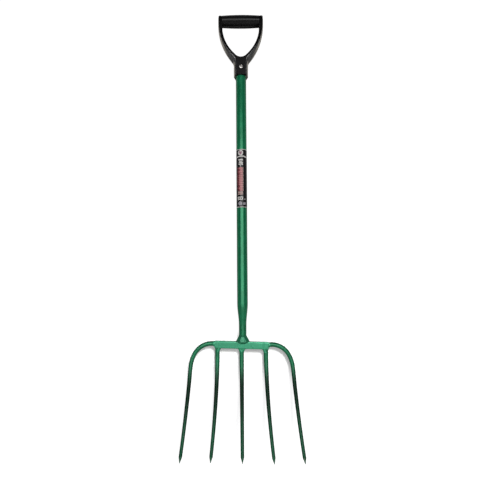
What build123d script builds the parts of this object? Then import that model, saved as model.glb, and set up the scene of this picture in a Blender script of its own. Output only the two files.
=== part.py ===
from build123d import *
from math import asin, cos, degrees, radians, sin, sqrt, tan
import os

# A five-pronged steel fork: a welded head on a tubular steel shaft, with a moulded D grip.
# All lengths are in millimetres and all angles in degrees.
# The origin is where the shaft's axis crosses the crossbar's centre line.
# +Z runs up the shaft to the grip, +X to the right, and the prongs curve forwards, to -Y.

# Shaft: a tube that is swaged down to a narrow neck above the head.
TUBE_OD = 30.0
TUBE_WALL = 1.5
NECK_OD = 21.0
TAPER_TOP_Z = 117.0
TAPER_BOTTOM_Z = 55.0
TUBE_TOP_Z = 814.0

# Neck: a solid tang inside the swaged end, and the heavy weld round its foot.
TANG_LENGTH = 62.0
TANG_CHAMFER = 2.0
NECK_WELD_TOP_Z = 27.0
NECK_WELD_THROAT = 0.4
NECK_WELD_HALF_WIDTH = 20.2
NECK_WELD_HALF_DEPTH = 13.0
NECK_WELD_DROP = 7.0
NECK_WELD_HOLLOW = 0.45

# Head: welded on slightly to the left of the shaft's axis, with its crossbar running down to the right.
HEAD_OFFSET_X = -3.3
HEAD_SLOPE = 1.75

# Crossbar: one flat bar, on edge.
BAR_HALF_LENGTH = 75.0
BAR_HEIGHT = 20.0
BAR_THICKNESS = 10.0
BAR_EDGE_RADIUS = 2.5

# Ends that meet the crossbar start this far inside it, and are then cut back to its surface.
# The hanging prongs start deeper, above the crossbar's rounded lower edge.
TRIM = 1.0
ROOT_TRIM = 3.0

# Prongs: oval, tapered, forged to a point, and scooped forwards on one arc.
PRONG_ROOT_WIDTH = 13.2
PRONG_TIP_WIDTH = 8.8
PRONG_FLATNESS = 0.73
PRONG_POINT_LENGTH = 13.0
PRONG_POINT_RADIUS = 0.6
PRONG_SECTIONS = 8
OUTER_PRONG_SECTIONS = 24
SCOOP_RADIUS = 465.0
TIP_Z = -271.0
INNER_ROOT_X = 67.9
INNER_TIP_X = 80.5
SHOULDER_START_X = 84.0
SHOULDER_Z = 2.9
SHOULDER_RADIUS = 55.0
SHOULDER_TURN = 60.0
HAUNCH_RADIUS = 85.0
HAUNCH_TURN = 26.0
OUTER_TIP_X = 158.0

# How many points set out each stretch of a prong's centre line.
SCOOP_STEPS = 8
SHOULDER_STEPS = 6
HAUNCH_STEPS = 3
TINE_STEPS = 6

# Welds at the prongs' roots: hollow-sided collars, a bead at each end of the crossbar,
# and a gusset of weld in the corner between an outer prong and its inner neighbour.
ROOT_WELD_REACH = 7.0
ROOT_WELD_DROP = 13.5
ROOT_WELD_HOLLOW = (1.0, 0.43, 0.11, 0.0)
ROOT_WELD_THROAT = 0.2
END_WELD_RADIUS = 6.7
END_WELD_LENGTH = 7.0
END_WELD_ROUNDING = 2.2
GUSSET_LENGTH = 6.0
GUSSET_DROP = 8.0
GUSSET_THICKNESS = 8.0

# Label: one wrap of printed vinyl that stops just short of meeting itself at the back.
LABEL_BOTTOM_Z = 387.0
LABEL_TOP_Z = 554.5
LABEL_THICKNESS = 0.2
LABEL_GAP = 2.0

# Grip: a yoke whose socket takes the tube, and a hand bar held between its cheeks.
HAND_BAR_Z = 942.2
HAND_BAR_RADIUS = 17.0
HAND_BAR_END_RADIUS = 15.4
HAND_BAR_BORE_RADIUS = 11.5
CHEEK_INNER_X = 54.5
CHEEK_TOP_RADIUS = 15.6
CHEEK_CORNER = 9.0
SPIGOT_LENGTH = 8.0
SPIGOT_ROOT = 3.0
FIT_GAP = 0.1
SOCKET_BOTTOM_Z = 772.0
SOCKET_HALF_DEPTH = 20.0
SOCKET_WEB = 11.0
RIDGE_ROUNDING = 6.0
EDGE_ROUNDING = 2.5
SOCKET_RIM_ROUNDING = 1.5
ARM_HALF_DEPTH = 14.6
ARM_WAIST_Z = 885.0
SOCKET_FLARE_Z = 812.0
OPENING_BOTTOM_RADIUS = 21.0
OPENING_BOTTOM_TURN = 44.0

# Grip outline, on the middle plane and on the front face: the moulding tapers between the two.
MIDDLE_CHEEK_X = 66.4
MIDDLE_ARC_Z = 930.0
MIDDLE_ARC_RADIUS = 180.0
MIDDLE_TURN = 36.0
MIDDLE_HOLLOW_RADIUS = 14.0
MIDDLE_SOCKET_X = 21.2
FACE_CHEEK_X = 63.4
FACE_ARC_Z = 938.0
FACE_ARC_RADIUS = 160.0
FACE_TURN = 38.0
FACE_HOLLOW_RADIUS = 36.0
FACE_SOCKET_X = 14.4

# Rivet through the socket and the tube, front to back, closed over a washer.
RIVET_Z = 794.0
RIVET_RADIUS = 3.0
RIVET_HEAD_RADIUS = 5.8
RIVET_HEAD_HEIGHT = 2.6
WASHER_RADIUS = 7.0
WASHER_THICKNESS = 1.2
RIVET_TAIL_RADIUS = 4.6
RIVET_TAIL_HEIGHT = 2.0
DOME_RIM_SHARE = 0.33

# Edges this close to a plane count as lying on it when they are picked out for rounding.
EDGE_TOLERANCE = 0.1

# Worked-out sizes.
TUBE_RADIUS = TUBE_OD / 2
NECK_RADIUS = NECK_OD / 2
BAR_TOP_Z = BAR_HEIGHT / 2
BAR_HALF_THICKNESS = BAR_THICKNESS / 2
NECK_FOOT_Z = BAR_TOP_Z - TRIM
PRONG_ROOT_Z = ROOT_TRIM - BAR_TOP_Z
SCOOP_ANGLE = degrees(asin((PRONG_ROOT_Z - TIP_Z) / SCOOP_RADIUS))
OPENING_BOTTOM_Z = TUBE_TOP_Z + SOCKET_WEB
GRIP_TOP_Z = HAND_BAR_Z + CHEEK_TOP_RADIUS
BLOCK_TOP_Z = GRIP_TOP_Z + TRIM
THROUGH_LENGTH = 4 * SOCKET_HALF_DEPTH
MIDDLE_OUTLINE = (
    MIDDLE_CHEEK_X, MIDDLE_ARC_Z, MIDDLE_ARC_RADIUS, MIDDLE_TURN, MIDDLE_HOLLOW_RADIUS, MIDDLE_SOCKET_X
)
FACE_OUTLINE = (FACE_CHEEK_X, FACE_ARC_Z, FACE_ARC_RADIUS, FACE_TURN, FACE_HOLLOW_RADIUS, FACE_SOCKET_X)

# Cylinders that stand on their base rather than being centred on it.
STANDING = (Align.CENTER, Align.CENTER, Align.MIN)


def solid_of_revolution(profile):
    """Turn a closed outline, drawn as radius against height, about the shaft's axis."""
    return revolve(Plane.XZ * make_face(profile), Axis.Z)


def tube_profile(radius, neck_radius, bottom_z, top_z):
    """Half section of the shaft's bore or skin: neck, smooth swage, then the full tube."""
    neck = Line((neck_radius, bottom_z), (neck_radius, TAPER_BOTTOM_Z))
    swage = Spline(neck @ 1, (radius, TAPER_TOP_Z), tangents=((0, 1), (0, 1)))
    tube = Line(swage @ 1, (radius, top_z))
    closing = Polyline(tube @ 1, (0, top_z), (0, bottom_z), neck @ 0)
    return neck + swage + tube + closing


def rivet_axis(y=0.0):
    """A place on the rivet's axis, with local Z pointing to the back of the fork."""
    return Plane(origin=(0, y, RIVET_Z), x_dir=(1, 0, 0), z_dir=(0, 1, 0))


def rivet_hole():
    return rivet_axis() * Cylinder(RIVET_RADIUS, THROUGH_LENGTH)


def shaft_skin():
    return solid_of_revolution(tube_profile(TUBE_RADIUS, NECK_RADIUS, NECK_FOOT_Z, TUBE_TOP_Z))


def shaft_bore():
    bore_radius = TUBE_RADIUS - TUBE_WALL
    neck_bore_radius = NECK_RADIUS - TUBE_WALL
    return solid_of_revolution(tube_profile(bore_radius, neck_bore_radius, NECK_FOOT_Z, TUBE_TOP_Z))


def shaft_tube():
    return shaft_skin() - shaft_bore() - rivet_hole() - head_crossbar()


def neck_tang():
    stub = Pos(0, 0, NECK_FOOT_Z) * Cylinder(NECK_RADIUS - TUBE_WALL, TANG_LENGTH, align=STANDING)
    top_edge = stub.edges().sort_by(Axis.Z)[-1]
    return (chamfer(top_edge, TANG_CHAMFER) & shaft_bore()) - head_crossbar()


def oval(z, half_width, half_depth):
    """A level oval section centred on the shaft's axis."""
    return (Pos(0, 0, z) * Ellipse(half_width, half_depth)).face()


def neck_weld():
    """Weld skirt: hollow-sided above the crossbar, and lapped over its two faces below."""
    rise = NECK_WELD_TOP_Z - BAR_TOP_Z
    top_radius = NECK_RADIUS + NECK_WELD_THROAT
    waist_width = top_radius + NECK_WELD_HOLLOW * (NECK_WELD_HALF_WIDTH - top_radius)
    waist_depth = top_radius + NECK_WELD_HOLLOW * (NECK_WELD_HALF_DEPTH - top_radius)
    skirt = loft([
        oval(BAR_TOP_Z, NECK_WELD_HALF_WIDTH, NECK_WELD_HALF_DEPTH),
        oval(BAR_TOP_Z + rise / 2, waist_width, waist_depth),
        oval(NECK_WELD_TOP_Z, top_radius, top_radius),
    ])
    lap = loft([
        oval(BAR_TOP_Z - NECK_WELD_DROP, NECK_WELD_HALF_WIDTH / 2, BAR_HALF_THICKNESS + TRIM),
        oval(BAR_TOP_Z, NECK_WELD_HALF_WIDTH, NECK_WELD_HALF_DEPTH),
    ])
    tube_room = Pos(0, 0, NECK_FOOT_Z) * Cylinder(NECK_RADIUS, 2 * rise, align=STANDING)
    return skirt + lap - tube_room - head_crossbar()


def head_crossbar():
    bar = Box(2 * BAR_HALF_LENGTH, BAR_THICKNESS, BAR_HEIGHT)
    bar = fillet(bar.edges().filter_by(Axis.X), BAR_EDGE_RADIUS)
    return Pos(HEAD_OFFSET_X, 0, 0) * Rot(0, HEAD_SLOPE, 0) * bar


def on_head(part, x):
    """Move a piece drawn square at x to its place on the offset, sloping crossbar, cut to fit it.

    Only the largest solid is kept: the cut can leave slivers beside the crossbar's rounded edges.
    """
    fall = x * tan(radians(HEAD_SLOPE))
    placed = Pos(HEAD_OFFSET_X, 0, -fall) * part - head_crossbar()
    return placed.solids().sort_by(SortBy.VOLUME)[-1]


def scoop_y(z):
    """How far forward a prong's centre line has come at a given height."""
    drop = max(PRONG_ROOT_Z - z, 0)
    return sqrt(SCOOP_RADIUS**2 - drop**2) - SCOOP_RADIUS


def straight_prong_points(root_x, tip_x):
    """Centre line of a prong that hangs from the crossbar's lower edge and fans out."""
    points = []
    for step in range(SCOOP_STEPS + 1):
        angle = radians(SCOOP_ANGLE * step / SCOOP_STEPS)
        z = PRONG_ROOT_Z - SCOOP_RADIUS * sin(angle)
        spread = (sin(angle) / sin(radians(SCOOP_ANGLE)))**2
        points.append((root_x + (tip_x - root_x) * spread, scoop_y(z), z))
    return points


def arc_points(start, heading, radius, turn, steps):
    """Points along an arc in the XZ plane that bends downwards from a heading."""
    points = []
    for step in range(1, steps + 1):
        angle = heading + turn * step / steps
        x = start[0] + radius * (sin(radians(angle)) - sin(radians(heading)))
        z = start[1] - radius * (cos(radians(heading)) - cos(radians(angle)))
        points.append((x, z))
    return points


def outer_prong_points():
    """Centre line of an outer prong: a stub off the crossbar, the shoulder, the haunch and the tine."""
    level = [(BAR_HALF_LENGTH - TRIM, SHOULDER_Z), (SHOULDER_START_X, SHOULDER_Z)]
    shoulder = arc_points(level[-1], 0, SHOULDER_RADIUS, SHOULDER_TURN, SHOULDER_STEPS)
    haunch = arc_points(shoulder[-1], SHOULDER_TURN, HAUNCH_RADIUS, HAUNCH_TURN, HAUNCH_STEPS)
    start_x, start_z = haunch[-1]
    run = start_z - TIP_Z
    slope = 1 / tan(radians(SHOULDER_TURN + HAUNCH_TURN))
    curl = (OUTER_TIP_X - start_x - slope * run) / run**2
    tine = []
    for step in range(1, TINE_STEPS + 1):
        fall = run * step / TINE_STEPS
        tine.append((start_x + slope * fall + curl * fall**2, start_z - fall))
    return [(x, scoop_y(z), z) for x, z in level + shoulder + haunch + tine]


def prong_section(path, place, width):
    """Oval section across the centre line, its long axis in the plane of the fan."""
    along = path % place
    across = along.cross(Vector(0, 1, 0)).normalized()
    here = Plane(origin=path @ place, x_dir=across, z_dir=along)
    return (here * Ellipse(width / 2, width / 2 * PRONG_FLATNESS)).face()


def prong(points, sections):
    """Tapered prong along a centre line that ends at the tip."""
    path = Spline(*points)
    shoulder = 1 - PRONG_POINT_LENGTH / path.length
    blade = []
    for step in range(sections + 1):
        place = shoulder * step / sections
        width = PRONG_ROOT_WIDTH + (PRONG_TIP_WIDTH - PRONG_ROOT_WIDTH) * place
        blade.append(prong_section(path, place, width))
    tip = prong_section(path, 1, 2 * PRONG_POINT_RADIUS)
    return loft(blade) + loft([blade[-1], tip], ruled=True)


def mirrored(part):
    return mirror(part, about=Plane.YZ)


def outer_prong():
    return prong(outer_prong_points(), OUTER_PRONG_SECTIONS)


def inner_prong():
    return prong(straight_prong_points(INNER_ROOT_X, INNER_TIP_X), PRONG_SECTIONS)


def centre_prong():
    return prong(straight_prong_points(0, 0), PRONG_SECTIONS)


def root_weld(root_x, prong_solid, outward_reach):
    """Hollow-sided collar in the corner between the crossbar's lower edge and a hanging prong."""
    half_width = PRONG_ROOT_WIDTH / 2 + ROOT_WELD_THROAT
    half_depth = (PRONG_ROOT_WIDTH * PRONG_FLATNESS + ROOT_WELD_THROAT) / 2
    sections = []
    for step, spread in enumerate(ROOT_WELD_HOLLOW):
        z = PRONG_ROOT_Z - ROOT_WELD_DROP * step / (len(ROOT_WELD_HOLLOW) - 1)
        left = half_width + spread * ROOT_WELD_REACH
        right = half_width + spread * outward_reach
        sections.append(Pos((right - left) / 2, 0, 0) * oval(z, (left + right) / 2, half_depth))
    return Pos(root_x, 0, 0) * loft(sections) - prong_solid


def corner_gusset():
    """Weld metal in the corner under an outer prong's stub, beside the inner prong."""
    corner = (BAR_HALF_LENGTH - TRIM, SHOULDER_Z)
    out = (BAR_HALF_LENGTH + GUSSET_LENGTH, SHOULDER_Z - PRONG_ROOT_WIDTH / 2)
    down = (BAR_HALF_LENGTH - TRIM, out[1] - GUSSET_DROP)
    hollow = Spline(down, out, tangents=((0, 1), (1, 0)))
    sides = Polyline(out, (out[0], SHOULDER_Z), corner, down)
    return extrude(Plane.XZ * make_face(hollow + sides), amount=GUSSET_THICKNESS / 2, both=True)


def end_weld(outer_solid, inner_solid):
    """Bead round an outer prong where it butts against the crossbar's end, with its gusset."""
    start = Plane(origin=(BAR_HALF_LENGTH - TRIM, 0, SHOULDER_Z), x_dir=(0, 1, 0), z_dir=(1, 0, 0))
    bead = start * Cylinder(END_WELD_RADIUS, END_WELD_LENGTH, align=STANDING)
    bead = fillet(bead.edges(), END_WELD_ROUNDING)
    return bead + corner_gusset() - outer_solid - inner_solid


def label_sleeve():
    height = LABEL_TOP_Z - LABEL_BOTTOM_Z
    middle = Pos(0, 0, LABEL_BOTTOM_Z + height / 2)
    wrap = Cylinder(TUBE_RADIUS + LABEL_THICKNESS, height) - Cylinder(TUBE_RADIUS, height)
    return middle * (wrap - Pos(0, TUBE_RADIUS, 0) * Box(LABEL_GAP, TUBE_RADIUS, height))


def arm_side(outline):
    """Right-hand edge of the grip, from the cheek's top, down the arm, to the socket's rim."""
    cheek_x, arc_z, arc_radius, turn, hollow_radius, socket_x = outline
    corner = JernArc((cheek_x - CHEEK_CORNER, BLOCK_TOP_Z), (1, 0), CHEEK_CORNER, -90)
    cheek = Line(corner @ 1, (cheek_x, arc_z))
    arm = JernArc(cheek @ 1, (0, -1), arc_radius, -turn)
    inset = (arc_radius + hollow_radius) * (1 - cos(radians(turn)))
    straight_length = (cheek_x - socket_x - inset) / sin(radians(turn))
    straight = Line(arm @ 1, arm @ 1 + (arm % 1) * straight_length)
    hollow = JernArc(straight @ 1, arm % 1, hollow_radius, turn)
    socket = Line(hollow @ 1, (socket_x, SOCKET_BOTTOM_Z))
    return corner + cheek + arm + straight + hollow + socket


def grip_face(outline, y):
    """Whole front view of the grip at one depth, as a face."""
    right = arm_side(outline)
    left = mirror(right, about=Plane.YZ)
    top_x = outline[0] - CHEEK_CORNER
    socket_x = outline[-1]
    top = Line((-top_x, BLOCK_TOP_Z), (top_x, BLOCK_TOP_Z))
    rim = Line((-socket_x, SOCKET_BOTTOM_Z), (socket_x, SOCKET_BOTTOM_Z))
    return Pos(0, y, 0) * (Plane.XZ * make_face(right + left + top + rim))


def grip_block():
    """Grip moulding before it is trimmed: widest on the middle plane, narrower at front and back."""
    middle = grip_face(MIDDLE_OUTLINE, 0).face()
    face = grip_face(FACE_OUTLINE, -SOCKET_HALF_DEPTH).face()
    front = loft([middle, face], ruled=True)
    return front + mirror(front, about=Plane.XZ)


def grip_side_view():
    """Slab with the grip's outline as seen from the side, to trim the block's depth."""
    flare = (SOCKET_HALF_DEPTH, SOCKET_FLARE_Z)
    waist = (ARM_HALF_DEPTH, ARM_WAIST_Z)
    cheek = (CHEEK_TOP_RADIUS, HAND_BAR_Z)
    middle = Polyline((0, GRIP_TOP_Z), (0, SOCKET_BOTTOM_Z), (SOCKET_HALF_DEPTH, SOCKET_BOTTOM_Z), flare)
    arm = Spline(flare, waist, cheek, tangents=((0, 1), (0, 1)))
    crown = JernArc(cheek, (0, 1), CHEEK_TOP_RADIUS, 90)
    back = extrude(Plane.YZ * make_face(middle + arm + crown), amount=MIDDLE_CHEEK_X + TRIM, both=True)
    return back + mirror(back, about=Plane.XZ)


def grip_opening():
    """Prism of the hand opening, running up between the cheeks."""
    bottom = JernArc((0, OPENING_BOTTOM_Z), (1, 0), OPENING_BOTTOM_RADIUS, OPENING_BOTTOM_TURN)
    reach = CHEEK_INNER_X - OPENING_BOTTOM_RADIUS * sin(radians(OPENING_BOTTOM_TURN))
    flank_radius = reach / (1 - sin(radians(OPENING_BOTTOM_TURN)))
    flank = JernArc(bottom @ 1, bottom % 1, flank_radius, 90 - OPENING_BOTTOM_TURN)
    wall = Line(flank @ 1, (CHEEK_INNER_X, BLOCK_TOP_Z))
    right = bottom + flank + wall
    lid = Line((-CHEEK_INNER_X, BLOCK_TOP_Z), (CHEEK_INNER_X, BLOCK_TOP_Z))
    opening = make_face(right + mirror(right, about=Plane.YZ) + lid)
    return extrude(Plane.XZ * opening, amount=THROUGH_LENGTH / 2, both=True)


def on_hand_bar(x, radius, length):
    """Cylinder on the hand bar's axis, centred at x."""
    return Pos(x, 0, HAND_BAR_Z) * Rot(0, 90, 0) * Cylinder(radius, length)


def ridge_edges(body):
    """Edges on the middle plane, where the front and back halves of the moulding meet."""
    found = []
    for edge in body.edges():
        centre = edge.center()
        in_plane = edge.bounding_box().size.Y < EDGE_TOLERANCE and abs(centre.Y) < EDGE_TOLERANCE
        outside = abs(centre.X) > TUBE_RADIUS and centre.Z < GRIP_TOP_Z - CHEEK_CORNER
        if in_plane and outside:
            found.append(edge)
    return found


def face_edges(body):
    """Edges round the front and back faces, outside and in the hand opening, but not the rivet's hole."""
    found = []
    for edge in body.edges():
        box = edge.bounding_box()
        depth = max(box.min.Y, -box.max.Y)
        upright = box.size.Z > EDGE_TOLERANCE
        beside_rivet = abs(edge.center().X) > RIVET_RADIUS
        if depth > ARM_HALF_DEPTH - 2 * EDGE_TOLERANCE and upright and beside_rivet:
            found.append(edge)
    return found


def socket_rim_edges(body):
    rim = [edge for edge in body.edges() if abs(edge.center().Z - SOCKET_BOTTOM_Z) < EDGE_TOLERANCE]
    return [edge for edge in rim if edge.geom_type != GeomType.CIRCLE]


def grip_yoke():
    body = (grip_block() & grip_side_view()) - grip_opening()
    body = fillet(ridge_edges(body), RIDGE_ROUNDING)
    body = fillet(face_edges(body), EDGE_ROUNDING)
    body = fillet(socket_rim_edges(body), SOCKET_RIM_ROUNDING)
    socket_depth = TUBE_TOP_Z - SOCKET_BOTTOM_Z
    bore = Pos(0, 0, SOCKET_BOTTOM_Z) * Cylinder(TUBE_RADIUS, socket_depth, align=STANDING)
    spigot_x = CHEEK_INNER_X + (SPIGOT_ROOT - SPIGOT_LENGTH) / 2
    spigot_radius = HAND_BAR_BORE_RADIUS - FIT_GAP
    for side in (-1, 1):
        body += on_hand_bar(side * spigot_x, spigot_radius, SPIGOT_LENGTH + SPIGOT_ROOT)
    return body - bore - rivet_hole()


def hand_bar():
    """Crowned barrel with a straight bore that drops over the yoke's spigots."""
    half_length = CHEEK_INNER_X - FIT_GAP
    crown = ThreePointArc(
        (-half_length, HAND_BAR_END_RADIUS), (0, HAND_BAR_RADIUS), (half_length, HAND_BAR_END_RADIUS)
    )
    shell = Polyline(
        crown @ 1, (half_length, HAND_BAR_BORE_RADIUS), (-half_length, HAND_BAR_BORE_RADIUS), crown @ 0
    )
    barrel = revolve(make_face(crown + shell), Axis.X)
    return Pos(0, 0, HAND_BAR_Z) * barrel


def dome(radius, height):
    """Shallow domed head standing on its flat face, up along Z."""
    rim = Line((radius, 0), (radius, height * DOME_RIM_SHARE))
    crown = Spline(rim @ 1, (0, height), tangents=((0, 1), (-1, 0)))
    base = Polyline((0, height), (0, 0), (radius, 0))
    return revolve(Plane.XZ * make_face(rim + crown + base), Axis.Z)


def grip_rivet():
    back_y = SOCKET_HALF_DEPTH + WASHER_THICKNESS
    shank_length = SOCKET_HALF_DEPTH + back_y
    shank = rivet_axis(back_y - shank_length / 2) * Cylinder(RIVET_RADIUS, shank_length)
    head = rivet_axis(-SOCKET_HALF_DEPTH) * Rot(180, 0, 0) * dome(RIVET_HEAD_RADIUS, RIVET_HEAD_HEIGHT)
    tail = rivet_axis(back_y) * dome(RIVET_TAIL_RADIUS, RIVET_TAIL_HEIGHT)
    return shank + head + tail


def rivet_washer():
    disc = Cylinder(WASHER_RADIUS, WASHER_THICKNESS) - Cylinder(RIVET_RADIUS, WASHER_THICKNESS)
    return rivet_axis(SOCKET_HALF_DEPTH + WASHER_THICKNESS / 2) * disc


def head_parts():
    """The crossbar, the prongs and their welds, by node name."""
    outer = outer_prong()
    inner = inner_prong()
    centre = centre_prong()
    parts = {
        "head_crossbar": head_crossbar(),
        "prong_centre": on_head(centre, 0),
        "weld_centre": on_head(root_weld(0, centre, ROOT_WELD_REACH), 0),
    }
    inner_collar = root_weld(INNER_ROOT_X, inner, -TRIM)
    pairs = {
        "outer": (outer, end_weld(outer, inner + inner_collar), INNER_ROOT_X),
        "inner": (inner, inner_collar, INNER_ROOT_X),
    }
    for place, (tine, weld, x) in pairs.items():
        parts[f"prong_right_{place}"] = on_head(tine, x)
        parts[f"weld_right_{place}"] = on_head(weld, x)
        parts[f"prong_left_{place}"] = on_head(mirrored(tine), -x)
        parts[f"weld_left_{place}"] = on_head(mirrored(weld), -x)
    return parts


def all_parts():
    """Every sub-part by its node name."""
    return head_parts() | {
        "shaft_tube": shaft_tube(),
        "neck_tang": neck_tang(),
        "neck_weld": neck_weld(),
        "label_sleeve": label_sleeve(),
        "grip_yoke": grip_yoke(),
        "hand_bar": hand_bar(),
        "grip_rivet": grip_rivet(),
        "rivet_washer": rivet_washer(),
    }


os.makedirs("parts", exist_ok=True)
for name, part in all_parts().items():
    part.label = name
    export_step(part, f"parts/{name}.step")
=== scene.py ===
"""A five-pronged steel fork with a moulded D grip, in its own frame, in metres.

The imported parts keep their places. The welds and the label's print are made here, and every
visible part gets a procedural material.
"""

import math
import random

import bmesh
import bpy
import numpy as np
from mathutils import Euler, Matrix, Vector


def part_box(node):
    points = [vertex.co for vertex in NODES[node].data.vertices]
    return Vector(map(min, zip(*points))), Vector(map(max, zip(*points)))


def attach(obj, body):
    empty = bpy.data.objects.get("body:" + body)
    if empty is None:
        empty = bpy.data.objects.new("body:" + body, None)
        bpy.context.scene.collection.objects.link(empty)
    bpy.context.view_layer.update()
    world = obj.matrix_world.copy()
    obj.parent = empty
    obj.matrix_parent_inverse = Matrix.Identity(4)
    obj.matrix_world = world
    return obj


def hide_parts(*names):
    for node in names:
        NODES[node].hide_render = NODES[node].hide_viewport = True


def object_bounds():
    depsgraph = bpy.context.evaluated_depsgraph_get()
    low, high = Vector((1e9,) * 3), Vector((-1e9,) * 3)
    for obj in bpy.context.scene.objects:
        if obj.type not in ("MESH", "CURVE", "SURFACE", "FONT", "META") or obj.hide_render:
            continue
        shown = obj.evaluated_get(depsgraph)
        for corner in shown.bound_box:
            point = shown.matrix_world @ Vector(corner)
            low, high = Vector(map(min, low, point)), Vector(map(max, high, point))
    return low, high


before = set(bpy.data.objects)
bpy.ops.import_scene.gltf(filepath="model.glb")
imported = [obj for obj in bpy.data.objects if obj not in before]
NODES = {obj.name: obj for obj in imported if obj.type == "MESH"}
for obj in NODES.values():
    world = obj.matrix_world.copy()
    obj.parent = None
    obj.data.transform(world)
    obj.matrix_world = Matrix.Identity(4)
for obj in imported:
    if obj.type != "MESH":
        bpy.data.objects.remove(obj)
CAD_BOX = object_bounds()
BODY = "root"
MM = 0.001

PRONGS = ("prong_left_outer", "prong_left_inner", "prong_centre", "prong_right_inner", "prong_right_outer")


# ---------------------------------------------------------------- node helpers

# Which sockets of a Mix node carry its colours.
MIX_SHARE, MIX_FIRST, MIX_SECOND, MIX_RESULT = 0, 6, 7, 2


def new_material(name):
    """An empty material, with its node tree and its shader's output node."""
    material = bpy.data.materials.new(name)
    material.use_nodes = True
    tree = material.node_tree
    tree.nodes.clear()
    return material, tree


def add(tree, kind, inputs=(), **settings):
    """A node with its settings made, and each named input set to a value or joined to a socket."""
    made = tree.nodes.new("ShaderNode" + kind)
    for name, value in settings.items():
        setattr(made, name, value)
    for name, value in dict(inputs).items():
        socket = made.inputs[name]
        if isinstance(value, bpy.types.NodeSocket):
            tree.links.new(value, socket)
        else:
            socket.default_value = value
    return made


def object_point(tree, stretch=(1, 1, 1)):
    """The point being shaded, in the frame's metres, stretched along each axis."""
    point = add(tree, "TexCoord").outputs["Object"]
    return add(tree, "Mapping", {"Vector": point, "Scale": stretch}).outputs["Vector"]


def place_along(tree, axis):
    """The point being shaded, along one axis of the frame, in metres."""
    point = add(tree, "TexCoord").outputs["Object"]
    return add(tree, "SeparateXYZ", {"Vector": point}).outputs[axis]


def noise(tree, point, size, detail=3.0, roughness=0.5):
    """Noise whose features are about size metres across, from 0 to 1."""
    values = {"Vector": point, "Scale": 1 / size, "Detail": detail, "Roughness": roughness}
    return add(tree, "TexNoise", values).outputs["Fac"]


def remap(tree, value, low, high, to_low=0.0, to_high=1.0, smooth=True):
    """Value brought from low..high to to_low..to_high, and held there outside it."""
    values = {"Value": value, "From Min": low, "From Max": high, "To Min": to_low, "To Max": to_high}
    kind = "SMOOTHSTEP" if smooth else "LINEAR"
    return add(tree, "MapRange", values, interpolation_type=kind).outputs["Result"]


def mix_colour(tree, share, first, second):
    """The first colour where share is 0 and the second where it is 1."""
    values = {MIX_SHARE: share, MIX_FIRST: first, MIX_SECOND: second}
    return add(tree, "Mix", values, data_type="RGBA").outputs[MIX_RESULT]


def calculate(tree, operation, first, second):
    """One arithmetic step on two values."""
    return add(tree, "Math", {0: first, 1: second}, operation=operation).outputs["Value"]


def bump(tree, height, distance, strength=1.0, under=None):
    """A bump of about distance metres from a height of 0 to 1, on top of the bump under it."""
    values = {"Height": height, "Distance": distance, "Strength": strength}
    if under is not None:
        values["Normal"] = under
    return add(tree, "Bump", values).outputs["Normal"]


def finish_material(tree, surface):
    """Join a shader to the material's output."""
    add(tree, "OutputMaterial", {"Surface": surface})


def rgb(red, green, blue):
    """A colour given as it looks on screen, from 0 to 255, as linear light."""
    linear = []  # by the sRGB curve
    for value in (red, green, blue):
        share = value / 255
        linear.append(share / 12.92 if share <= 0.04045 else ((share + 0.055) / 1.055) ** 2.4)
    return (*linear, 1.0)


def grey(share):
    """A grey in linear light, from 0 for black to 1 for white."""
    return (share, share, share, 1.0)


def darker(colour):
    """A deeper shade of a colour."""
    return tuple(0.7 * channel for channel in colour[:3]) + (1.0,)


# ------------------------------------------------------------------- materials

ENAMEL = rgb(13, 137, 90)
ENAMEL_DEEP = rgb(8, 119, 76)
# Painted shade: the near-black green painted down the middle of each prong.
ENAMEL_PAINTED_SHADE = rgb(2, 44, 24)
ENAMEL_FADED = rgb(34, 150, 110)
# Painted light: a paler copy of the enamel, which makes the head and its welds look more brightly lit than
# the tube.
ENAMEL_PAINTED_LIGHT = rgb(70, 150, 120)
SCUFFED_STEEL = rgb(96, 92, 84)
BLACK_PLASTIC = rgb(10, 10, 11)
BLACK_PLASTIC_WORN = rgb(20, 20, 21)
# Painted sheen: the pale grey painted on the grip's flanks where they are seen at a glancing angle.
PAINTED_SHEEN_PLASTIC = rgb(118, 114, 107)
VINYL = rgb(16, 15, 18)
RUBBED_VINYL = rgb(60, 60, 62)
RIVET_STEEL = rgb(225, 222, 218)
BARE_STEEL = rgb(150, 146, 140)

# The enamel's gloss: how metallic it is, its plain shine, and the clear coat over it.
TINTED_SHINE = 0.42
SHINE = 0.5
COAT = 0.25

# Heights in metres between which painted shade darkens a prong's green, and eases off again towards its
# tip.
PAINTED_SHADE_FROM, PAINTED_SHADE_FULL = -0.03, -0.11
PAINTED_SHADE_UNTIL, PAINTED_SHADE_EASED = -0.13, -0.25

# How far up from its tip a prong is scuffed to bare steel, in metres.
SCUFFED_ALL, SCUFFED_SOME = 0.002, 0.03

# Depths in metres between which a painted sheen turns the grip's arms pale grey, and its front loses its
# shine.
SHEEN_FROM, SHEEN_FULL = -0.0125, -0.0075
FACE_SHINY, FACE_DULL = -0.018, -0.0155


def painted_prong_shade(tree):
    """How much painted shade darkens a prong's green and dulls its gloss, from 0 to 1: most in the middle.
    """
    height = place_along(tree, "Z")
    below_root = remap(tree, height, PAINTED_SHADE_FULL, PAINTED_SHADE_FROM, 1.0, 0.1)
    above_tip = remap(tree, height, PAINTED_SHADE_EASED, PAINTED_SHADE_UNTIL, 0.62, 1.0)
    return calculate(tree, "MULTIPLY", below_root, above_tip)


def scuffed_tip(tree):
    """Where a prong is scratched down to the steel, from 0 to 1: lengthwise scratches near its tip."""
    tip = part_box("prong_centre")[0].z
    near_tip = remap(tree, place_along(tree, "Z"), tip + SCUFFED_ALL, tip + SCUFFED_SOME, 1.0, 0.0)
    scratches = noise(tree, object_point(tree, (1, 1, 0.12)), 0.0011, 4.0, 0.65)
    return calculate(tree, "MULTIPLY", near_tip, remap(tree, scratches, 0.56, 0.62))


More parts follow.
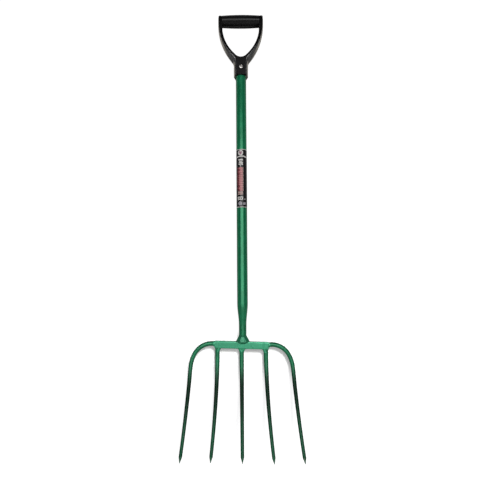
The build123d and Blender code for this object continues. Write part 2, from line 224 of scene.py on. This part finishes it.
def enamel_material(name, lumps=0.0, prong=False, pale=0.0):
    """Green enamel: blotchy colour, orange-peel bump, lumps under it where the steel is rough. Pale mixes
    in a paler green as painted light; a prong gets painted shade down its middle and scuffs at its tip.
    """
    material, tree = new_material(name)
    point = object_point(tree)
    blotches = noise(tree, point, 0.035, 4.0)
    specks = noise(tree, point, 0.0016, 2.0)
    colour = mix_colour(tree, remap(tree, blotches, 0.3, 0.7), ENAMEL_DEEP, ENAMEL)
    colour = mix_colour(tree, remap(tree, specks, 0.45, 0.8, 0.0, 0.3), colour, ENAMEL_FADED)
    # Painted light: pale mixes the colour towards the paler copy of the enamel.
    colour = mix_colour(tree, pale, colour, ENAMEL_PAINTED_LIGHT)
    smears = noise(tree, object_point(tree, (1, 1, 0.2)), 0.012, 4.0)
    roughness = remap(tree, smears, 0.25, 0.75, 0.24, 0.36)
    peel = noise(tree, point, 0.0022, 2.0)
    normal = bump(tree, peel, 0.00012, 0.5)
    if lumps:
        rough_steel = noise(tree, point, 0.007, 3.0)
        normal = bump(tree, rough_steel, lumps, 1.0, normal)
    metallic, shine, coat = TINTED_SHINE, SHINE, COAT
    if prong:
        # Painted shade down the prong's middle: a deeper green, with less metallic shine, plain shine and
        # coat.
        painted_shade = painted_prong_shade(tree)
        colour = mix_colour(tree, painted_shade, colour, ENAMEL_PAINTED_SHADE)
        metallic = remap(tree, painted_shade, 0.0, 1.0, TINTED_SHINE, 0.05, smooth=False)
        shine = remap(tree, painted_shade, 0.0, 1.0, SHINE, 0.1, smooth=False)
        coat = remap(tree, painted_shade, 0.0, 1.0, COAT, 0.0, smooth=False)
        worn = scuffed_tip(tree)
        colour = mix_colour(tree, worn, colour, SCUFFED_STEEL)
        metallic = calculate(tree, "MAXIMUM", metallic, worn)
        roughness = calculate(tree, "ADD", roughness, calculate(tree, "MULTIPLY", worn, 0.1))
    values = {
        "Base Color": colour, "Roughness": roughness, "Normal": normal, "Metallic": metallic,
        "Specular IOR Level": shine, "Coat Weight": coat, "Coat Roughness": 0.12,
    }
    finish_material(tree, add(tree, "BsdfPrincipled", values).outputs["BSDF"])
    return material


def plastic_material(name, texture_size, texture_depth, low_roughness, high_roughness, painted_sheen=False):
    """Black moulded plastic, finely textured and a little polished by hands.

    The painted sheen makes its flanks pale grey behind the front face, where they are seen at a glancing
    angle: a painted reflection of the bright surroundings.
    """
    material, tree = new_material(name)
    point = object_point(tree)
    haze = noise(tree, point, 0.03, 4.0)
    grains = noise(tree, point, texture_size, 3.0, 0.6)
    colour = mix_colour(tree, remap(tree, haze, 0.35, 0.75), BLACK_PLASTIC, BLACK_PLASTIC_WORN)
    roughness = remap(tree, haze, 0.3, 0.7, low_roughness, high_roughness)
    normal = bump(tree, grains, texture_depth, 0.6)
    shine = 0.36
    if painted_sheen:
        # Painted sheen: behind the front face and at glancing angles, the flanks are painted pale grey as
        # a painted reflection.
        depth = place_along(tree, "Y")
        behind = remap(tree, depth, SHEEN_FROM, SHEEN_FULL)
        glancing = add(tree, "LayerWeight", {"Blend": 0.5}).outputs["Facing"]
        sheen = calculate(tree, "MULTIPLY", behind, remap(tree, glancing, 0.3, 0.6))
        colour = mix_colour(tree, sheen, colour, PAINTED_SHEEN_PLASTIC)
        shine = remap(tree, depth, FACE_SHINY, FACE_DULL, 0.32, 0.1)
    values = {"Base Color": colour, "Roughness": roughness, "Normal": normal, "Specular IOR Level": shine}
    finish_material(tree, add(tree, "BsdfPrincipled", values).outputs["BSDF"])
    return material


def steel_material(name, colour, low_roughness, high_roughness):
    """Bare steel with fine scratches, smudges and shallow dents."""
    material, tree = new_material(name)
    point = object_point(tree)
    scratches = noise(tree, object_point(tree, (0.2, 1, 1)), 0.0004, 3.0, 0.6)
    smudges = noise(tree, point, 0.003, 3.0)
    dents = noise(tree, point, 0.0015, 2.0)
    tint = mix_colour(tree, remap(tree, smudges, 0.3, 0.8), colour, darker(colour))
    roughness = remap(tree, smudges, 0.3, 0.7, low_roughness, high_roughness)
    normal = bump(tree, scratches, 0.00002, 0.5)
    normal = bump(tree, dents, 0.00008, 0.5, normal)
    values = {"Base Color": tint, "Metallic": 1.0, "Roughness": roughness, "Normal": normal}
    finish_material(tree, add(tree, "BsdfPrincipled", values).outputs["BSDF"])
    return material


def ink_material(name, ink, wear):
    """Printed vinyl: glossy, slightly uneven ink, with grey showing where it is rubbed."""
    material, tree = new_material(name)
    point = object_point(tree)
    mottle = noise(tree, point, 0.0012, 3.0)
    rub = noise(tree, object_point(tree, (1, 1, 0.3)), 0.004, 5.0, 0.65)
    colour = mix_colour(tree, remap(tree, mottle, 0.3, 0.8, 0.0, 0.35), ink, darker(ink))
    colour = mix_colour(tree, remap(tree, rub, 0.62, 0.7, 0.0, wear), colour, RUBBED_VINYL)
    waves = noise(tree, point, 0.012, 2.0)
    normal = bump(tree, waves, 0.0002, 0.3)
    values = {"Base Color": colour, "Roughness": remap(tree, rub, 0.3, 0.7, 0.22, 0.4), "Normal": normal}
    finish_material(tree, add(tree, "BsdfPrincipled", values).outputs["BSDF"])
    return material


def paint(node, material):
    """Give a CAD node its one material."""
    mesh = NODES[node].data
    mesh.materials.clear()
    mesh.materials.append(material)


# ------------------------------------------------------------ meshes from code


def new_piece(name, mesh, material):
    """A visible piece that rides on the fork."""
    mesh.materials.append(material)
    piece = bpy.data.objects.new(name, mesh)
    bpy.context.scene.collection.objects.link(piece)
    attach(piece, BODY)
    return piece


def shade_smooth(mesh):
    """Shade a mesh as one smooth surface."""
    mesh.polygons.foreach_set("use_smooth", [True] * len(mesh.polygons))


def lumpiness(points, size, seed):
    """Smooth random lumps about size across, mostly from -1 to 1: plane waves in random directions."""
    draw = random.Random(seed)
    total = np.zeros(len(points))
    for _ in range(LUMP_WAVES):
        direction = Vector((draw.gauss(0, 1), draw.gauss(0, 1), draw.gauss(0, 1))).normalized()
        length = size * draw.uniform(0.7, 1.6)
        phase = draw.uniform(0, 2 * math.pi)
        total += np.sin(points @ np.array(direction) * 2 * math.pi / length + phase)
    return total / math.sqrt(LUMP_WAVES)


def cut_off(piece, corner, axis, side):
    """Cut away what lies beyond a corner along an axis, on the side given as -1 or 1, and cap it."""
    normal = Vector([side if index == axis else 0 for index in range(3)])
    everything = piece.verts[:] + piece.edges[:] + piece.faces[:]
    if not everything:
        return
    cut = bmesh.ops.bisect_plane(
        piece, geom=everything, plane_co=corner, plane_no=normal, clear_outer=True)
    rim = [item for item in cut["geom_cut"] if isinstance(item, bmesh.types.BMEdge)]
    if rim:
        bmesh.ops.edgeloop_fill(piece, edges=rim)


def chunk(nodes, low, high):
    """The parts of some CAD nodes that lie between two corners, as one mesh of closed shells."""
    work = bmesh.new()
    for node in nodes:
        piece = bmesh.new()
        piece.from_mesh(NODES[node].data)
        for axis in range(3):
            cut_off(piece, low, axis, -1)
        for axis in range(3):
            cut_off(piece, high, axis, 1)
        cut_mesh = bpy.data.meshes.new("chunk")
        piece.to_mesh(cut_mesh)
        piece.free()
        work.from_mesh(cut_mesh)
        bpy.data.meshes.remove(cut_mesh)
    mesh = bpy.data.meshes.new("chunk")
    work.to_mesh(mesh)
    work.free()
    return mesh


def remeshed(mesh, cell):
    """A closed mesh's outside as an even mesh about cell metres fine."""
    source = bpy.data.objects.new("remesh_source", mesh)
    bpy.context.scene.collection.objects.link(source)
    modifier = source.modifiers.new("remesh", "REMESH")
    modifier.mode = "VOXEL"
    modifier.voxel_size = cell
    evaluated = source.evaluated_get(bpy.context.evaluated_depsgraph_get())
    made = bpy.data.meshes.new_from_object(evaluated)
    bpy.data.objects.remove(source)
    bpy.data.meshes.remove(mesh)
    return made


def smooth(mesh, rounds):
    """Draw each vertex halfway towards its neighbours, some number of times."""
    every_axis = {"use_axis_x": True, "use_axis_y": True, "use_axis_z": True}
    work = bmesh.new()
    work.from_mesh(mesh)
    for _ in range(rounds):
        bmesh.ops.smooth_vert(work, verts=work.verts, factor=0.5, **every_axis)
    work.to_mesh(mesh)
    work.free()


def swell(mesh, rise):
    """Move each vertex along its normal by rise, which is a length or a function of the places."""
    places = np.zeros(3 * len(mesh.vertices))
    normals = np.zeros(3 * len(mesh.vertices))
    mesh.vertices.foreach_get("co", places)
    mesh.vertex_normals.foreach_get("vector", normals)
    places, normals = places.reshape(-1, 3), normals.reshape(-1, 3)
    height = rise(places)[:, None] if callable(rise) else rise
    mesh.vertices.foreach_set("co", (places + normals * height).ravel())
    mesh.update()


# ----------------------------------------------------------------------- welds

# How fine the metal's mesh is, how far it swells while its corners fill, and how much it is smoothed.
WELD_CELL = 0.0006
WELD_FILL = 0.0016
WELD_ROUNDING = 5

# How proud the metal stands, how deep its edge sinks, and how far out from the middle it starts to.
WELD_CROWN = 0.0001
WELD_SINK = 0.0007
WELD_FADE_FROM = 0.62

LUMP_SIZE = 0.006
LUMP_WAVES = 9

# How high the lumps are, and how far the metal reaches past the CAD weld.
NECK_LUMPS, ROOT_LUMPS, SHOULDER_LUMPS = 0.00018, 0.00012, 0.0002
WELD_MARGIN, SHOULDER_MARGIN = 0.004, 0.006

# Beads round the neck: how high, how many, and how steeply they climb, in radians a metre.
RIPPLE_HEIGHT, RIPPLE_COUNT, RIPPLE_CLIMB = 0.00018, 22, 700


def weld(name, nodes, margin, lumps, seed, ripple=None):
    """Weld metal over a joint: it fills the corners, stands proud, and sinks in at its edge."""
    low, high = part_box(name)
    room = Vector((margin, margin, margin))
    centre = np.array((low + high) / 2)
    half = np.array((high - low) / 2 + room)
    cell = WELD_CELL
    mesh = remeshed(chunk(nodes, low - room, high + room), cell)
    swell(mesh, WELD_FILL)
    mesh = remeshed(mesh, cell)
    smooth(mesh, WELD_ROUNDING)

    def rise(places):
        reach = np.linalg.norm((places - centre) / half, axis=1)
        fade = np.clip((reach - WELD_FADE_FROM) / (1 - WELD_FADE_FROM), 0, 1)
        fade = fade * fade * (3 - 2 * fade)
        beads = lumps * lumpiness(places, LUMP_SIZE, seed)
        if ripple:
            beads = beads + ripple(places)
        return -WELD_FILL + (WELD_CROWN + beads) * (1 - fade) - WELD_SINK * fade

    swell(mesh, rise)
    mesh.name = name + "_metal"
    shade_smooth(mesh)
    mesh.materials.clear()
    piece = new_piece(name + "_metal", mesh, MATERIALS["weld"])
    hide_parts(name)
    return piece


def neck_ripple(points):
    """Stacked beads that run round the neck."""
    angle = np.arctan2(points[:, 1], points[:, 0])
    return RIPPLE_HEIGHT * np.sin(RIPPLE_COUNT * angle + RIPPLE_CLIMB * points[:, 2])


def all_welds():
    """Every weld's metal: the neck's first, then those on the head, which are returned."""
    joined = ("neck_weld", "shaft_tube", "head_crossbar", "neck_tang")
    weld("neck_weld", joined, WELD_MARGIN, NECK_LUMPS, 3, neck_ripple)
    joined = ("weld_centre", "prong_centre", "head_crossbar")
    made = [weld("weld_centre", joined, WELD_MARGIN, ROOT_LUMPS, 4)]
    for side, seed in (("left", 5), ("right", 6)):
        inner, outer = f"prong_{side}_inner", f"prong_{side}_outer"
        joined = (f"weld_{side}_inner", inner, "head_crossbar")
        made.append(weld(f"weld_{side}_inner", joined, WELD_MARGIN, ROOT_LUMPS, seed))
        joined = (f"weld_{side}_outer", outer, "head_crossbar", inner)
        made.append(weld(f"weld_{side}_outer", joined, SHOULDER_MARGIN, SHOULDER_LUMPS, seed + 2))
    return made


# ----------------------------------------------------------------- label print

# Metres: how thick each layer of print is, and how deep it is rooted in the vinyl.
PRINT_THICKNESS = 0.00008
PRINT_SINK = 0.00005

# Millimetres: how wide a column of a printed shape may be, and the least height of one.
PRINT_COLUMN = 0.5
PRINT_LEAST = 0.02

# Millimetres: how far the printed block is from the label's ends, and the gap between its rows.
BLOCK_BELOW_TOP, BLOCK_ABOVE_BOTTOM = 53.0, 46.5
BLOCK_ROWS = 13
BLOCK_GAP = 0.7
BLOCK_NOTCH = 2.4
BLOCK_NOTCHED_ROWS = (1, 3, 10, 12)


def rounded_edge(place, low, high, radius):
    """How far a rounded corner has drawn the outline in at a place between low and high."""
    inset = min(place - low, high - place)
    if inset >= radius:
        return 0.0
    return radius - math.sqrt(max(0.0, radius * radius - (radius - inset) ** 2))


def slab(left, right, bottom, top, radius=0.8):
    """A printed rectangle with rounded corners: the outline's ends, and its lower and upper edges."""
    corner = min(radius, (right - left) / 2, (top - bottom) / 2)

    def edges(place):
        inset = rounded_edge(place, left, right, corner)
        return bottom + inset, top - inset

    return left, right, edges


def disc(across, height, radius):
    """A printed disc about a centre."""

    def edges(place):
        half = math.sqrt(max(0.0, radius * radius - (place - across) ** 2))
        return height - half, height + half

    return across - radius, across + radius, edges


def arch(left, right, crown, sag, thickness):
    """A band that droops towards the sides of the sleeve."""

    def edges(place):
        middle = crown - sag * (place / right) ** 2
        return middle - thickness / 2, middle + thickness / 2

    return left, right, edges


def print_shell(vertices, faces, shape, radius, layer):
    """Closed shell of one printed shape, wrapped on the sleeve, with its inside sunk into the vinyl."""
    left, right, edges = shape
    columns = max(12, round((right - left) / PRINT_COLUMN))
    outer = radius + layer * PRINT_THICKNESS
    inner = radius - PRINT_SINK
    start = len(vertices)
    for column in range(columns + 1):
        share = 0.5 - 0.5 * math.cos(math.pi * column / columns)
        place = left + (right - left) * share
        low, high = edges(place)
        if high - low < PRINT_LEAST:
            low, high = low - PRINT_LEAST / 2, high + PRINT_LEAST / 2
        angle = place * MM / radius
        for distance, height in ((outer, low), (outer, high), (inner, high), (inner, low)):
            vertices.append((distance * math.sin(angle), -distance * math.cos(angle), height * MM))
    for column in range(columns):
        here, there = start + 4 * column, start + 4 * column + 4
        for corner in range(4):
            across = (corner + 1) % 4
            faces.append((here + corner, there + corner, there + across, here + across))
    faces.append((start, start + 1, start + 2, start + 3))
    end = start + 4 * columns
    faces.append((end + 3, end + 2, end + 1, end))


def label_print(name, shapes, material, layer=1):
    """One colour of print: sizes along and across the sleeve are in mm, from its front and the origin."""
    low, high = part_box("label_sleeve")
    radius = (high.x - low.x) / 2
    vertices, faces = [], []
    for shape in shapes:
        print_shell(vertices, faces, shape, radius, layer)
    mesh = bpy.data.meshes.new(name)
    mesh.from_pydata(vertices, [], faces)
    mesh.update()
    return new_piece(name, mesh, material)


def printed_block(bottom, top):
    """The rows of pink, red and cream in the label's middle, as three lists of shapes."""
    pink, red, cream = [], [], []
    block_top = top - BLOCK_BELOW_TOP
    pitch = (block_top - (bottom + BLOCK_ABOVE_BOTTOM)) / BLOCK_ROWS
    for row in range(BLOCK_ROWS):
        upper = block_top - row * pitch
        lower = upper - pitch + BLOCK_GAP
        notch = BLOCK_NOTCH if row in BLOCK_NOTCHED_ROWS else 0.0
        pink.append(slab(-8.2 + notch, 3.0, lower, upper, 0.9))
        red.append(slab(-14.6 + notch, -8.8 + notch, lower, upper, 0.9))
        cream.append(slab(3.5, 5.2 - 0.5 * (row % 2), lower, upper, 0.6))
    return pink, red, cream


def all_print():
    """The label's plain graphics, placed in mm across from its front and up or down from its ends."""
    low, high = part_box("label_sleeve")
    bottom, top = low.z / MM, high.z / MM
    white = [
        slab(-46.5, 46.5, top - 1.9, top - 0.4, 0.3),
        slab(-46.5, 46.5, bottom + 0.4, bottom + 1.9, 0.3),
        disc(-2.9, top - 10.9, 7.6),
        arch(-24.0, 24.0, top - 20.8, 5.2, 3.2),
        slab(-9.6, 3.9, top - 33.0, top - 29.0),
        slab(-7.4, 1.6, top - 36.6, top - 34.4, 0.5),
        slab(-8.6, 3.6, top - 41.0, top - 37.6),
        slab(-8.6, 3.6, top - 45.4, top - 42.0),
        disc(-3.1, top - 48.7, 1.6),
        slab(-12.6, 3.9, bottom + 28.2, bottom + 30.6, 0.5),
        slab(-12.6, -8.6, bottom + 24.2, bottom + 27.6, 0.4),
        slab(-6.0, -2.8, bottom + 24.2, bottom + 27.6, 0.4),
        slab(0.0, 3.9, bottom + 24.2, bottom + 27.6, 0.4),
        slab(-12.6, 3.9, bottom + 21.4, bottom + 23.6, 0.5),
        disc(9.4, bottom + 23.4, 1.6),
    ]
    pink, red, cream = printed_block(bottom, top)
    cream.append(slab(-11.6, 3.4, bottom + 40.4, bottom + 45.4, 1.2))
    cream.append(slab(-11.6, 3.4, bottom + 36.4, bottom + 39.4, 1.2))
    silver = [disc(-4.6, bottom + 11.4, 5.8), slab(4.0, 11.5, bottom + 7.4, bottom + 14.6, 2.0)]
    emblem = [disc(-4.9, top - 8.9, 2.3), disc(-0.9, top - 8.9, 2.3), disc(-2.9, top - 12.9, 2.6)]
    label_print("label_print_white", white, ink_material("ink_white", rgb(224, 222, 218), 0.55))
    label_print("label_print_pink", pink, ink_material("ink_pink", rgb(206, 134, 136), 0.3))
    label_print("label_print_red", red, ink_material("ink_red", rgb(128, 58, 66), 0.35))
    label_print("label_print_cream", cream, ink_material("ink_cream", rgb(190, 158, 152), 0.5))
    label_print("label_print_grey", silver, ink_material("ink_grey", rgb(168, 164, 172), 0.5))
    label_print("label_print_emblem", emblem, ink_material("ink_mauve", rgb(150, 96, 118), 0.3), 2)


# ------------------------------------------------------------- stage and light

# The camera: metres, degrees, and millimetres of lens and sensor.
CAMERA_PLACE = Vector((-0.00526, -0.91275, 0.24745))
CAMERA_PITCH = 3.0
CAMERA_ROLL = -0.37
CAMERA_LENS = 24.0
CAMERA_SENSOR = 36.0
CAMERA_SHIFT = -0.0005
CAMERA_NEAR = 0.01

# The card's own glow and how much light it scatters: by the head, below it, and above it.
HEAD_GLOW = 0.31
HEAD_MATT = (0.88, 0.92)
FOOT_GLOW = 0.54
FOOT_MATT = 0.3
SHAFT_GLOW = 0.69
SHAFT_MATT = 0.05
CARD_BOUNCE = 0.3

# Heights in metres between which the card changes below the head, and above it.
FOOT_FULL, FOOT_FROM = -0.12, -0.045
SHAFT_FROM, SHAFT_FULL = 0.012, 0.04

# Metres: the card's half width and its height, its gap behind the fork, and the floor's drop.
STAGE_SIZE = 3.0
STAGE_GAP = 0.0008
FLOOR_DROP = 0.25

# How bright the surroundings are in front of the fork and behind it, and the directions between.
WORLD_AHEAD, WORLD_BEHIND = 0.03, 0.4
AHEAD_UNTIL, BEHIND_FROM = -0.6, 0.4

# Front panels, in metres and watts: a panel's height above the crossbar, where it aims, how tall
# it is, its power, and whether it lights the grip.
FRONT = -4.0
FRONT_WIDTH = 4.6
FRONT_PANELS = {
    "front_low": (-0.1, -0.1, 1.6, 60, False),
    "front_foot": (-1.4, -0.6, 1.0, 66, False),
    "front_high": (1.45, 1.45, 1.5, 57, True),
}

# The pair of lights high up on the right, for the head and for the card.
OVERHEAD_PLACE = (1.2, FRONT, 3.3)
OVERHEAD_SIZE = 1.4
OVERHEAD_HEAD_WATTS = 270
OVERHEAD_CARD_WATTS = 340

# The narrow panels beside the grip.
BESIDE_DISTANCE = 2.0
BESIDE_DEPTH, BESIDE_HEIGHT = -0.06, 0.8
BESIDE_AIM = (0, -0.03, 0.86)
BESIDE_WIDTH, BESIDE_TALL = 0.14, 1.2
BESIDE_WATTS = 40


def make_camera():
    """The photographer's eye: just below the fork's middle, looking slightly up."""
    data = bpy.data.cameras.new("camera")
    data.lens = CAMERA_LENS
    data.sensor_width = CAMERA_SENSOR
    data.clip_start = CAMERA_NEAR
    data.shift_x = CAMERA_SHIFT
    camera = bpy.data.objects.new("camera", data)
    tilt = Euler((math.radians(90 + CAMERA_PITCH), 0, 0)).to_matrix()
    roll = Euler((0, 0, math.radians(CAMERA_ROLL))).to_matrix()
    camera.matrix_world = (tilt @ roll).to_4x4()
    camera.location = CAMERA_PLACE
    bpy.context.scene.collection.objects.link(camera)
    bpy.context.scene.camera = camera


def card_glow(tree, below_head, above_head):
    """How brightly the card glows by itself."""
    near = calculate(tree, "ADD", HEAD_GLOW, calculate(tree, "MULTIPLY", below_head, FOOT_GLOW))
    far = calculate(tree, "MULTIPLY", above_head, SHAFT_GLOW)
    strength = calculate(tree, "ADD", near, far)
    return add(tree, "Emission", {"Color": grey(1.0), "Strength": strength}).outputs["Emission"]


def stage_material():
    """White card. The camera sees it matt by the head, where it takes shadow, and glowing elsewhere.

    The fork sees it duller, and from behind it is clear.
    """
    material, tree = new_material("stage_card")
    height = place_along(tree, "Z")
    above_head = remap(tree, height, SHAFT_FROM, SHAFT_FULL)
    below_head = remap(tree, height, FOOT_FULL, FOOT_FROM, 1.0, 0.0)
    grain = noise(tree, object_point(tree), 0.004, 3.0)
    shade = mix_colour(tree, grain, grey(HEAD_MATT[0]), grey(HEAD_MATT[1]))
    shade = mix_colour(tree, below_head, shade, grey(FOOT_MATT))
    shade = mix_colour(tree, above_head, shade, grey(SHAFT_MATT))
    card = add(tree, "BsdfDiffuse", {"Color": shade}).outputs["BSDF"]
    glow = card_glow(tree, below_head, above_head)
    bright = add(tree, "AddShader", {0: card, 1: glow}).outputs["Shader"]
    dull = add(tree, "BsdfDiffuse", {"Color": grey(CARD_BOUNCE)}).outputs["BSDF"]
    seen = add(tree, "LightPath").outputs["Is Camera Ray"]
    front = add(tree, "MixShader", {"Fac": seen, 1: dull, 2: bright}).outputs["Shader"]
    clear = add(tree, "BsdfTransparent").outputs["BSDF"]
    behind = add(tree, "NewGeometry").outputs["Backfacing"]
    surface = add(tree, "MixShader", {"Fac": behind, 1: front, 2: clear}).outputs["Shader"]
    finish_material(tree, surface)
    return material


def stage_sheet(name, near_edge, far_edge, material):
    """A flat sheet as wide as the stage, between two edges given as their Y and Z."""
    corners = [(side * STAGE_SIZE, *near_edge) for side in (-1, 1)]
    corners += [(side * STAGE_SIZE, *far_edge) for side in (1, -1)]
    mesh = bpy.data.meshes.new(name)
    mesh.from_pydata(corners, [], [(0, 1, 2, 3)])
    mesh.materials.append(material)
    sheet = bpy.data.objects.new(name, mesh)
    bpy.context.scene.collection.objects.link(sheet)
    return sheet


def make_stage():
    """A pale card that the fork lies against, just clear of it, and a pale floor below its tips."""
    material = stage_material()
    low, high = CAD_BOX
    weld_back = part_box("neck_weld")[1].y
    lean = (high.y - weld_back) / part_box("grip_rivet")[0].z
    floor_z = low.z - FLOOR_DROP
    bottom_y = weld_back + STAGE_GAP + lean * floor_z
    top_y = weld_back + STAGE_GAP + lean * STAGE_SIZE
    backdrop = stage_sheet("backdrop", (bottom_y, floor_z), (top_y, STAGE_SIZE), material)
    floor = stage_sheet("floor", (-STAGE_SIZE, floor_z), (STAGE_SIZE, floor_z), material)
    return [backdrop, floor]


def area_light(name, place, aim, width, height, power, lit):
    """A rectangular light turned to its aim, which lights only the objects in lit."""
    data = bpy.data.lights.new(name, "AREA")
    data.shape = "RECTANGLE"
    data.size = width
    data.size_y = height
    data.energy = power
    light = bpy.data.objects.new(name, data)
    light.location = place
    light.rotation_euler = (Vector(aim) - Vector(place)).to_track_quat("-Z", "Y").to_euler()
    bpy.context.scene.collection.objects.link(light)
    group = bpy.data.collections.new(name + "_lit")
    for item in lit:
        group.objects.link(item)
    light.light_linking.receiver_collection = group


def make_world():
    """Pale surroundings: plain white to the camera, and darker where the photographer would stand."""
    world = bpy.data.worlds.new("studio")
    world.use_nodes = True
    tree = world.node_tree
    tree.nodes.clear()
    seen = add(tree, "LightPath").outputs["Is Camera Ray"]
    white = add(tree, "Background", {"Color": grey(1.0), "Strength": 1.0}).outputs["Background"]
    direction = add(tree, "TexCoord").outputs["Generated"]
    parts = add(tree, "SeparateXYZ", {"Vector": direction})
    strength = remap(tree, parts.outputs["Y"], AHEAD_UNTIL, BEHIND_FROM, WORLD_AHEAD, WORLD_BEHIND)
    around = add(tree, "Background", {"Color": grey(1.0), "Strength": strength}).outputs["Background"]
    mixed = add(tree, "MixShader", {"Fac": seen, 1: around, 2: white}).outputs["Shader"]
    add(tree, "OutputWorld", {"Surface": mixed})
    bpy.context.scene.world = world


def make_lights(sheets, head):
    """Three broad panels in front, one above another: only the highest lights the grip.

    One light high up brightens the head, and its twin gives the head a soft shadow on the card.
    A narrow panel on each side picks out the grip's arms.
    """
    yoke, bar = NODES["grip_yoke"], NODES["hand_bar"]
    fork = [item for item in bpy.context.scene.objects if item.type == "MESH" and item not in sheets]
    below_grip = [item for item in fork if item not in (yoke, bar)]
    for name, (height, aim, tall, watts, lights_grip) in FRONT_PANELS.items():
        lit = fork if lights_grip else below_grip
        area_light(name, (0, FRONT, height), (0, 0, aim), FRONT_WIDTH, tall, watts, lit)
    above = (("overhead", OVERHEAD_HEAD_WATTS, head), ("overhead_card", OVERHEAD_CARD_WATTS, sheets))
    for name, watts, lit in above:
        area_light(name, OVERHEAD_PLACE, (0, 0, 0), OVERHEAD_SIZE, OVERHEAD_SIZE, watts, lit)
    for side, x in (("left", -BESIDE_DISTANCE), ("right", BESIDE_DISTANCE)):
        place = (x, BESIDE_DEPTH, BESIDE_HEIGHT)
        area_light("beside_" + side, place, BESIDE_AIM, BESIDE_WIDTH, BESIDE_TALL, BESIDE_WATTS, [yoke])


def set_look():
    """Colours as they are, with no film curve."""
    settings = bpy.context.scene.view_settings
    settings.view_transform = "Standard"
    settings.exposure = 0.0


# ----------------------------------------------------------------------- build

MATERIALS = {
    "tube": enamel_material("green_enamel_tube"),
    # The head and its welds get part of the paler enamel: painted light.
    "head": enamel_material("green_enamel_head", 0.0003, pale=0.5),
    "prong": enamel_material("green_enamel_prong", 0.0002, prong=True),
    "weld": enamel_material("green_enamel_weld", 0.0002, pale=0.35),
    "yoke": plastic_material("black_plastic_yoke", 0.0006, 0.00006, 0.38, 0.52, painted_sheen=True),
    "bar": plastic_material("black_plastic_bar", 0.0009, 0.00002, 0.26, 0.34),
    "rivet": steel_material("rivet_steel", RIVET_STEEL, 0.22, 0.4),
    "steel": steel_material("bare_steel", BARE_STEEL, 0.35, 0.55),
    "label": ink_material("label_black", VINYL, 0.4),
}

for node in NODES:
    paint(node, MATERIALS["head"])
for node in PRONGS:
    paint(node, MATERIALS["prong"])
paint("shaft_tube", MATERIALS["tube"])
paint("neck_tang", MATERIALS["steel"])
paint("label_sleeve", MATERIALS["label"])
paint("grip_yoke", MATERIALS["yoke"])
paint("hand_bar", MATERIALS["bar"])
paint("grip_rivet", MATERIALS["rivet"])
paint("rivet_washer", MATERIALS["rivet"])
head_welds = all_welds()
all_print()

sheets = make_stage()
make_world()
make_lights(sheets, [NODES["head_crossbar"]] + head_welds)
make_camera()
set_look()
